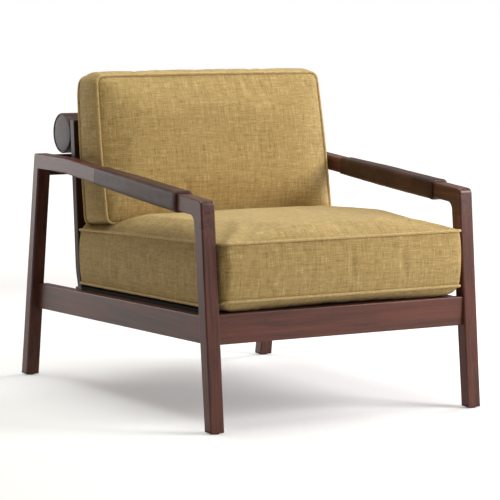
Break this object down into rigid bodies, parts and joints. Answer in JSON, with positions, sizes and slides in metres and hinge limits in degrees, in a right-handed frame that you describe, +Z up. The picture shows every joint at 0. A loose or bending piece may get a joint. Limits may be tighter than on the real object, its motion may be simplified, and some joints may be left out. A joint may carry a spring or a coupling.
{
  "type": "armchair",
  "caption": "Low wooden lounge armchair with open side frames, leather-wrapped arms, a leather back roll and loose boxed fabric cushions.",
  "frame": {"origin": "on the floor, at the centre of the bounding box's bottom", "axes": "+Z up, -Y towards the front of the chair, X across the chair; the chair is symmetric about X = 0"},
  "size_m": [0.751, 1.0234, 0.784],
  "materials": {
    "stained_wood": "dark espresso stain under a satin lacquer",
    "plain_wood": "unfinished beech",
    "dark_leather": "smooth, lightly glossy, dark brown",
    "padding": "felt",
    "steel": "zinc plated",
    "glide_plastic": "matt black nylon",
    "woven_cover": "slubby mustard linen weave",
    "woven_piping": "self piping in the cover's cloth",
    "black_cloth": "black woven cloth",
    "cushion_filling": "foam wrapped in fibre"
  },
  "bodies": {
    "frame": {"front_leg_left": "stained_wood", "front_leg_right": "stained_wood", "rear_leg_left": "stained_wood", "rear_leg_right": "stained_wood", "arm_left": "stained_wood", "arm_right": "stained_wood", "side_rail_left": "stained_wood", "side_rail_right": "stained_wood", "front_rail": "stained_wood", "rear_seat_rail": "stained_wood", "upper_back_rail": "stained_wood", "back_post_left": "stained_wood", "back_post_right": "stained_wood", "back_slats": "stained_wood", "slat_cleat_left": "stained_wood", "slat_cleat_right": "stained_wood", "seat_slats": "stained_wood", "platform_cloth": "black_cloth", "corner_blocks": "plain_wood", "arm_padding_left": "padding", "arm_padding_right": "padding", "arm_wrap_left": "dark_leather", "arm_wrap_right": "dark_leather", "roll_tube": "plain_wood", "roll_leather_cover": "dark_leather", "roll_end_left": "dark_leather", "roll_end_right": "dark_leather", "roll_bolts": "steel", "leg_dowels": "plain_wood", "side_rail_dowels": "plain_wood", "cross_rail_dowels": "plain_wood", "post_dowels": "plain_wood", "cleat_screws": "steel", "slat_screws": "steel", "block_screws": "steel", "foot_glides": "glide_plastic", "glide_nails": "steel"},
    "seat_cushion": {"seat_cushion_cover": "woven_cover", "seat_cushion_core": "cushion_filling", "seat_cushion_piping": "woven_piping"},
    "back_cushion": {"back_cushion_cover": "woven_cover", "back_cushion_core": "cushion_filling", "back_cushion_piping": "woven_piping"}
  },
  "joints": [
    {"name": "seat_cushion_slide", "type": "slide", "parent": "frame", "child": "seat_cushion", "axis": [0, -0.9998, 0.0192], "range_m": [0, 0.25]},
    {"name": "back_cushion_lift", "type": "slide", "parent": "frame", "child": "back_cushion", "axis": [0, 0, 1], "range_m": [0, 0.2]}
  ]
}
